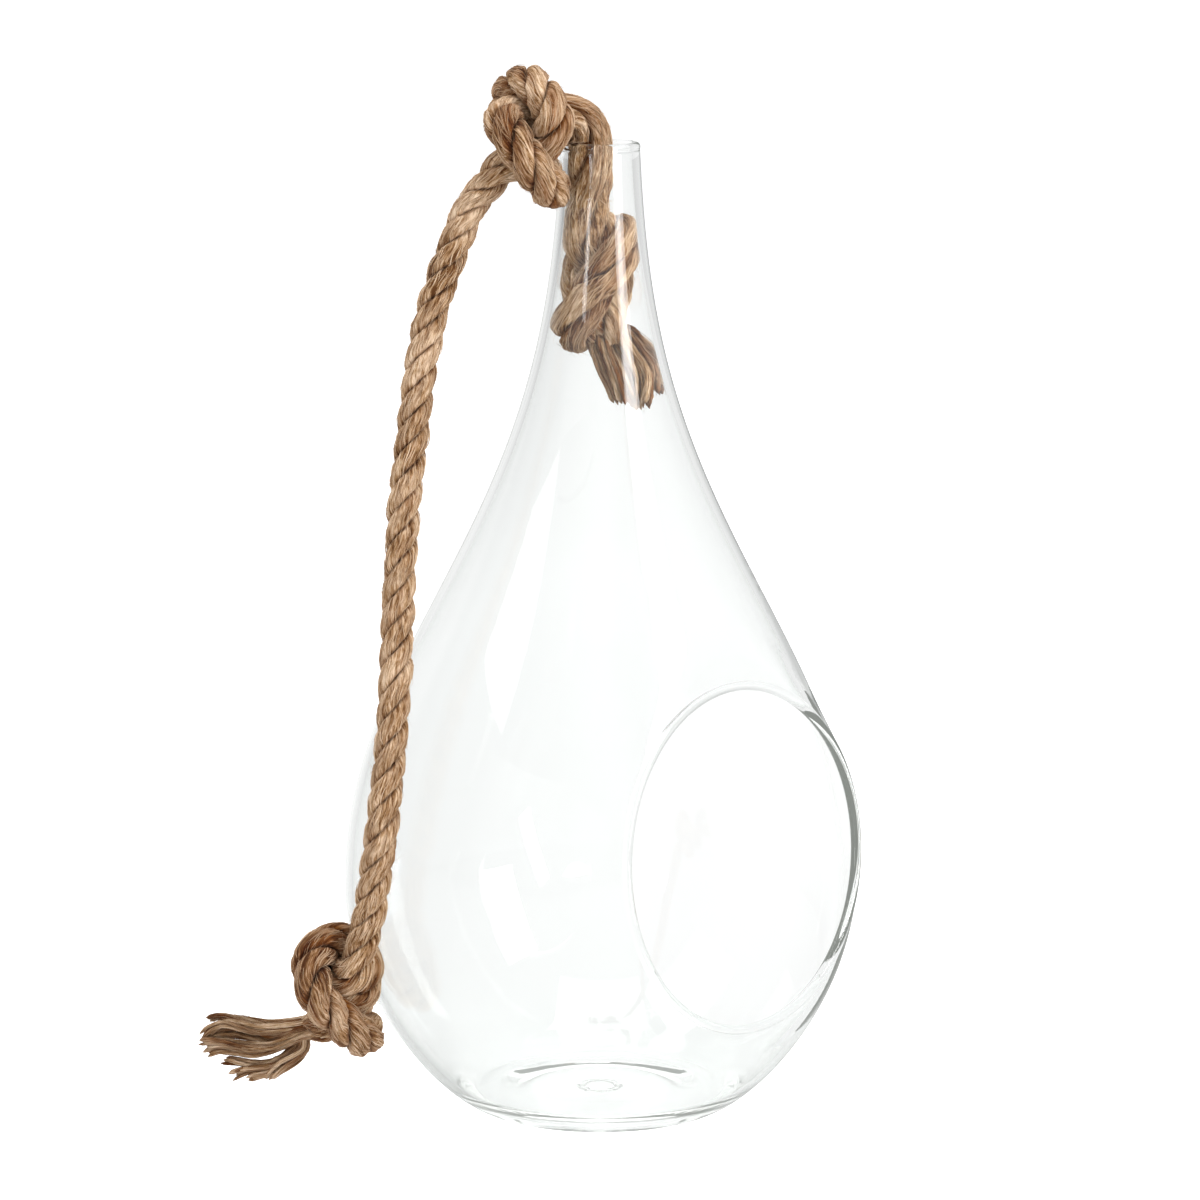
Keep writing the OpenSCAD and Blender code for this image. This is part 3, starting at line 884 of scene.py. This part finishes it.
def wall_reach(u, v, line):
    """How far out of the opening's face direction the turned wall with this outline lies."""
    low, high = np.zeros_like(u), np.full_like(u, FAR_OUT)
    r_line, z_line = line[np.argsort(line[:, 1])].T
    for _ in range(HALVINGS):
        n = (low + high) / 2
        x, y, z = on_port(u, v, n).T
        outside = np.hypot(x, y) > np.interp(z, z_line, r_line)
        high = np.where(outside, n, high)
        low = np.where(outside, low, n)
    return (low + high) / 2


PATCH_STEPS = 22
# The patch's rows lie closer together towards the lip by this power
PATCH_POWER = 1.5
PATCH_ROUND = 2.0
# The patch is drawn to the lip over this width
PATCH_DRAW = 11
# Its slope is read between these two distances from the lip's middle
SLOPE_FROM = 0.5
SLOPE_TO = 1.5
LIP_ARC = math.radians(48)
LIP_STEPS = 16
# Rows of the fine outlines that the patches are laid on
FINE_UNDER_ROWS = 1500
FINE_SHOULDER_ROWS = 3000


def port_patch(verts, faces, ids, wall, side):
    """The wall drawn in from the window's edge to the opening's lip, outside with side 1 and inside
    with -1. Gives its last loop, where that lies round the opening, and where on the lip's round."""
    p = np.array([verts[i] for i in ids]) - (0, 0, PORT_H)
    u0, v0 = p[:, 0], p @ PORT_UP
    angle = np.arctan2(v0, u0)
    flat_n = np.full(len(ids), LIP_REACH + side * WALL / 2)

    def reach(u, v):
        return smooth_min(wall_reach(u, v, wall), flat_n, PATCH_ROUND)

    def reach_at(rho):
        return reach(np.cos(angle) * rho, np.sin(angle) * rho)

    slope = np.arctan(reach_at(LIP_RING_R + SLOPE_FROM) - reach_at(LIP_RING_R + SLOPE_TO))
    lip_turn = side * LIP_ARC - slope
    rho = LIP_RING_R + LIP_R * np.cos(lip_turn)
    drawn = LIP_REACH + LIP_R * np.sin(lip_turn) - reach_at(rho)
    for k in range(1, PATCH_STEPS + 1):
        t = 1 - (1 - k / PATCH_STEPS)**PATCH_POWER
        u, v = u0 + (np.cos(angle) * rho - u0) * t, v0 + (np.sin(angle) * rho - v0) * t
        n = reach(u, v) + drawn * (1 - smooth_step(rho, rho + PATCH_DRAW, np.hypot(u, v)))
        next_ids = added(verts, on_port(u, v, n))
        faces += bridge(ids, next_ids)
        ids = next_ids
    return ids, angle, lip_turn


def port_lip(verts, faces, outer_loop, inner_loop):
    """The lip's round, from the last loop of the outer patch to that of the inner one."""
    (ids, angle, lip_turn), (last_ids, last_angle, last_turn) = outer_loop, inner_loop
    for k in range(1, LIP_STEPS + 1):
        share = k / LIP_STEPS
        turn = lip_turn + share * (last_turn + 2 * math.pi - lip_turn)
        around = angle + share * (last_angle - angle)
        rho, n = LIP_RING_R + LIP_R * np.cos(turn), LIP_REACH + LIP_R * np.sin(turn)
        next_ids = last_ids
        if k < LIP_STEPS:
            next_ids = added(verts, on_port(rho * np.cos(around), rho * np.sin(around), n))
        faces += bridge(ids, next_ids)
        ids = next_ids


def glass_mesh():
    """Points and faces of the glass: the turned form with a window in each wall, and there the opening."""
    line, outer_rows, inner_rows = glass_outline()
    verts = turned_points(line[1:-1]).reshape(-1, 3).tolist()
    bottom, floor = added(verts, np.array([[0, 0, line[0, 1]], [0, 0, line[-1, 1]]]))
    half = int(round(WINDOW_HALF / (2 * math.pi) * COLUMNS))
    first, last = (int(np.argmin(abs(line[outer_rows, 1] - z))) for z in (WINDOW_LOW, WINDOW_HIGH))
    open_rows = {min(rows[i], rows[i + 1]) for rows in (outer_rows, inner_rows) for i in range(first, last)}
    last_row = len(line) - 2
    faces = [[turned_id(row, c), turned_id(row, c + 1), turned_id(row + 1, c + 1), turned_id(row + 1, c)]
             for row in range(1, last_row)
             for c in (range(half, COLUMNS - half) if row in open_rows else range(COLUMNS))]
    faces += [[bottom, turned_id(1, c + 1), turned_id(1, c)] for c in range(COLUMNS)]
    faces += [[floor, turned_id(last_row, c), turned_id(last_row, c + 1)] for c in range(COLUMNS)]

    z = np.concatenate([under_heights(0.02, FINE_UNDER_ROWS)[:-1],
                        np.linspace(BELLY_H, VESSEL_H, FINE_SHOULDER_ROWS)])
    outer = np.stack([outer_r(z), z], 1)
    loops = [port_patch(verts, faces, window_edge(rows, first, last, half), wall, side)
             for rows, wall, side in ((outer_rows, outer, 1), (inner_rows, moved_in(outer, WALL), -1))]
    port_lip(verts, faces, *loops)
    return verts, faces


# Glass colour from nearly square on, by its facing, to a glancing angle: partly light that runs far in the
# glass there, partly painted shade that darkens its edges
GLASS_STOPS = [(0.70, (0.985, 0.995, 0.99)), (0.88, (0.86, 0.89, 0.87)), (1.0, (0.36, 0.43, 0.38))]
GLASS_SHADOW = (0.93, 0.95, 0.94, 1)
# Painted glow: the glass emits light at this turn of a ray, in this tint, for light caught inside the wall.
# The four numbers are two heights in metres and the glow at each: in the foot, and above it.
CAUGHT_AT = 5
CAUGHT_TINT = (0.94, 1.0, 0.92, 1)
CAUGHT_GLOW = (0.02, 0.06, 0.3, 0.26)


def glass_material():
    """Clear glass with a slight ripple, a little darker where it is seen at a glancing angle by painted
    shade, and with a painted glow where rays are caught inside it.
    """
    material = bpy.data.materials.new("clear_glass")
    n = Nodes(material)
    where = n.add("TexCoord").outputs["Object"]
    ripple = n.noise(where, Scale=9.0, Detail=1.0, Roughness=0.4)
    bump = n.add("Bump", Strength=0.05, Distance=0.002, Height=ripple)
    colour = n.ramp(n.add("LayerWeight", Blend=0.5).outputs["Facing"], GLASS_STOPS)
    rays = n.add("LightPath").outputs
    caught = n.math("COMPARE", rays["Glossy Depth"], CAUGHT_AT)
    glow = ranged(n, height_at(n, where), *CAUGHT_GLOW)
    glass = n.add("BsdfPrincipled", Base_Color=colour, Roughness=0.0, IOR=1.46,
                  Transmission_Weight=1.0, Normal=bump, Emission_Color=CAUGHT_TINT,
                  Emission_Strength=n.math("MULTIPLY", caught, glow))
    clear = n.add("BsdfTransparent", Color=GLASS_SHADOW)
    n.add("OutputMaterial", Surface=n.add("MixShader", i0=rays["Is Shadow Ray"], i1=glass, i2=clear))
    return material


def glass_piece():
    verts, faces = glass_mesh()
    mesh = bpy.data.meshes.new("blown_glass")
    mesh.from_pydata((np.array(verts) * MM).tolist(), [], faces)
    bm = bmesh.new()
    bm.from_mesh(mesh)
    bmesh.ops.delete(bm, geom=[v for v in bm.verts if not v.link_faces], context="VERTS")
    bmesh.ops.recalc_face_normals(bm, faces=bm.faces)
    bm.to_mesh(mesh)
    bm.free()
    mesh.shade_smooth()
    mesh.materials.append(glass_material())
    piece = placed("blown_glass", mesh)
    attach(piece, "glass")
    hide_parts("glass_vessel")


glass_piece()


# The studio round the object. The first camera looks along BEHIND, with RIGHT on its right.
BEHIND = np.array([0.7314, 0.6820, 0])
RIGHT = np.array([0.6820, -0.7314, 0])
# A white screen stands this far round to the left of straight behind
SCREEN_TURN = math.radians(30)
SCREEN_WAY = BEHIND * math.cos(SCREEN_TURN) - RIGHT * math.sin(SCREEN_TURN)
# A smaller front one stands this far to the left of the first camera, as the glass sees it
FRONT_TURN = math.radians(39)
FRONT_WAY = -BEHIND * math.cos(FRONT_TURN) - RIGHT * math.sin(FRONT_TURN)
# A ray's depth over this says that it was turned so at least once
ONCE = 0.5
# The studio's shades. Two numbers are the share of a direction where a shade starts and where it is
# full. Four are two such shares, or places in metres, and the brightness at each.
WOUND_RIGHT = (0.1, 0.8, 1.0, 0.85)
WOUND_LEFT = (-0.7, -0.25, 0.6, 1.0)
DARK_RIGHT = (-0.1, 0.0)
DARK_BEHIND = (0.80, 0.90)
DARKEST = 0.4
SCREEN_EDGE = (0.80, 0.87)
SCREEN_LIGHT = 1.0
FRONT_EDGE = (0.90, 0.985)
FRONT_LIGHT = 1.1
FRONT_TOP = 0.45


def level_way(n, place):
    """The level direction from the vase to a place in the studio."""
    flat = n.add("VectorMath", {"operation": "MULTIPLY"}, i0=place, i1=(1, 1, 0))
    return n.add("VectorMath", {"operation": "NORMALIZE"}, i0=flat)


def wound(n, place):
    """How bright the studio is to a ray that was mirrored inside the glass: darker to both sides."""
    right = dot(n, level_way(n, place), RIGHT)
    return n.math("MULTIPLY", ranged(n, right, *WOUND_RIGHT), ranged(n, right, *WOUND_LEFT))


def mirrored(n, place, dark):
    """How bright the studio is to a ray that the glass mirrors: white at the two screens, darkest right
    behind the vase and to the right of that."""
    way = level_way(n, place)
    right = ranged(n, dot(n, way, RIGHT), *DARK_RIGHT, 0, 1)
    behind = ranged(n, dot(n, way, BEHIND), *DARK_BEHIND, 0, 1)
    dark = ranged(n, n.math("MULTIPLY", right, behind), 0, 1, dark, DARKEST)
    back = ranged(n, dot(n, way, SCREEN_WAY), *SCREEN_EDGE, dark, SCREEN_LIGHT)
    front = ranged(n, dot(n, way, FRONT_WAY), *FRONT_EDGE, dark, FRONT_LIGHT)
    is_low = n.math("LESS_THAN", height_at(n, place), FRONT_TOP)
    return n.math("MAXIMUM", back, either(n, is_low, dark, front))


def seen_by_glass(n, rays, place, through, dark):
    """How bright the studio is to a ray that went through the glass, or that its inside or outside
    mirrored."""
    is_wound = n.math("GREATER_THAN", rays["Glossy Depth"], ONCE)
    through = either(n, is_wound, through, wound(n, place))
    outside = n.math("LESS_THAN", rays["Transmission Depth"], ONCE)
    return either(n, outside, through, mirrored(n, place, dark))


FLOOR_RADIUS = 14.0
FLOOR_SIDES = 96
FLOOR_DOWN = 0.0002
FLOOR_WHITE = 0.9
# The share of that white that is left for rays from the glass, and the glow that the camera sees
FLOOR_SHARE = 0.35
FLOOR_GLOW = 0.55
# Shades of the floor through the glass: from left to right, and towards the back
FLOOR_ACROSS = (-0.13, 0.10, 0.92, 1.05)
FLOOR_BACK = (0.15, 0.95, -0.05, 0.11)
FLOOR_DARK = 0.7


def make_floor():
    turns = 2 * math.pi * np.arange(FLOOR_SIDES) / FLOOR_SIDES
    verts = [(FLOOR_RADIUS * math.cos(t), FLOOR_RADIUS * math.sin(t), 0) for t in turns]
    mesh = bpy.data.meshes.new("floor")
    mesh.from_pydata(verts, [], [list(range(FLOOR_SIDES))])
    material = bpy.data.materials.new("white_floor")
    n = Nodes(material)
    rays = n.add("LightPath").outputs
    place = n.add("TexCoord").outputs["Object"]
    through = n.math("ADD", ranged(n, dot(n, place, RIGHT), *FLOOR_ACROSS),
                     ranged(n, dot(n, place, BEHIND), *FLOOR_BACK))
    glow = n.math("SUBTRACT", seen_by_glass(n, rays, place, through, FLOOR_DARK), FLOOR_SHARE)
    glow = n.math("MULTIPLY", glow, rays["Is Glossy Ray"])
    glow = either(n, rays["Is Camera Ray"], glow, FLOOR_GLOW)
    share = either(n, rays["Is Glossy Ray"], FLOOR_WHITE, FLOOR_WHITE * FLOOR_SHARE)
    white = n.add("CombineXYZ", X=share, Y=share, Z=share)
    diffuse = n.add("BsdfDiffuse", Color=white)
    light = n.add("Emission", Strength=glow)
    n.add("OutputMaterial", Surface=n.add("AddShader", i0=diffuse, i1=light))
    mesh.materials.append(material)
    floor = placed("floor", mesh)
    floor.location.z = -FLOOR_DOWN


# Shade of the world through the glass, by height
WORLD_UP = (0, 0.5, 1.0, 0.7)
WORLD_DARK = 0.5
WORLD_FILL = 0.62


def make_world():
    world = bpy.data.worlds.new("studio")
    bpy.context.scene.world = world
    n = Nodes(world)
    rays = n.add("LightPath").outputs
    place = n.add("TexCoord").outputs["Generated"]
    through = ranged(n, height_at(n, place), *WORLD_UP)
    level = either(n, rays["Is Glossy Ray"], WORLD_FILL, seen_by_glass(n, rays, place, through, WORLD_DARK))
    level = either(n, rays["Is Camera Ray"], level, 1.0)
    background = n.add("Background", Color=(1, 1, 1, 1), Strength=level)
    n.add("OutputWorld", Surface=background)


# All lamps face this height. The outside of the glass mirrors them this many times as bright.
LAMPS_FACE_H = 0.14
MIRRORED_SHARE = 1.9


def make_lamp(name, azimuth, elevation, away, width, height, radiance, lean=0.0):
    """A flat lamp that faces the vase. azimuth is degrees to the right of the first camera. radiance is
    how bright it looks, where 1 is white. Only the outside of the glass mirrors it."""
    data = bpy.data.lights.new(name, "AREA")
    data.shape = "RECTANGLE"
    data.size, data.size_y = width, height
    data.energy = radiance * math.pi * width * height
    n = Nodes(data)
    rays = n.add("LightPath").outputs
    outside = n.math("LESS_THAN", rays["Transmission Depth"], ONCE)
    strength = either(n, rays["Is Glossy Ray"], 1.0, n.math("MULTIPLY", outside, MIRRORED_SHARE))
    light = n.add("Emission", Strength=strength)
    n.add("OutputLight", Surface=light)
    lamp = placed(name, data)
    a, e = CAMERA_AZIMUTH + math.radians(azimuth), math.radians(elevation)
    back = Vector((math.sin(a) * math.cos(e), -math.cos(a) * math.cos(e), math.sin(e)))
    lamp.location = Vector((0, 0, LAMPS_FACE_H)) + back * away
    lamp.rotation_mode = "QUATERNION"
    turned = Quaternion((0, 0, 1), math.radians(lean))
    lamp.rotation_quaternion = (-back).to_track_quat("-Z", "Y") @ turned
    lamp.visible_camera = False
    return lamp


make_floor()
make_world()
make_lamp("right_softbox", azimuth=53, elevation=22, away=1.5, width=0.49, height=1.0, radiance=9.5)
make_lamp("left_strip", azimuth=-30, elevation=8, away=1.5, width=0.13, height=0.55, radiance=7.0, lean=35)
# The glass mirrors only the two lamps above
left = make_lamp("left_softbox", azimuth=-75, elevation=45, away=1.6, width=0.9, height=0.9, radiance=2.5)
top = make_lamp("top_softbox", azimuth=0, elevation=78, away=1.6, width=1.2, height=1.2, radiance=2.8)
left.visible_glossy = top.visible_glossy = False

# Light that runs along inside the glass needs many turns before it leaves it
cycles = bpy.context.scene.cycles
cycles.max_bounces = 24
cycles.glossy_bounces = 16
cycles.transmission_bounces = 24

bpy.context.scene.view_settings.view_transform = "Standard"
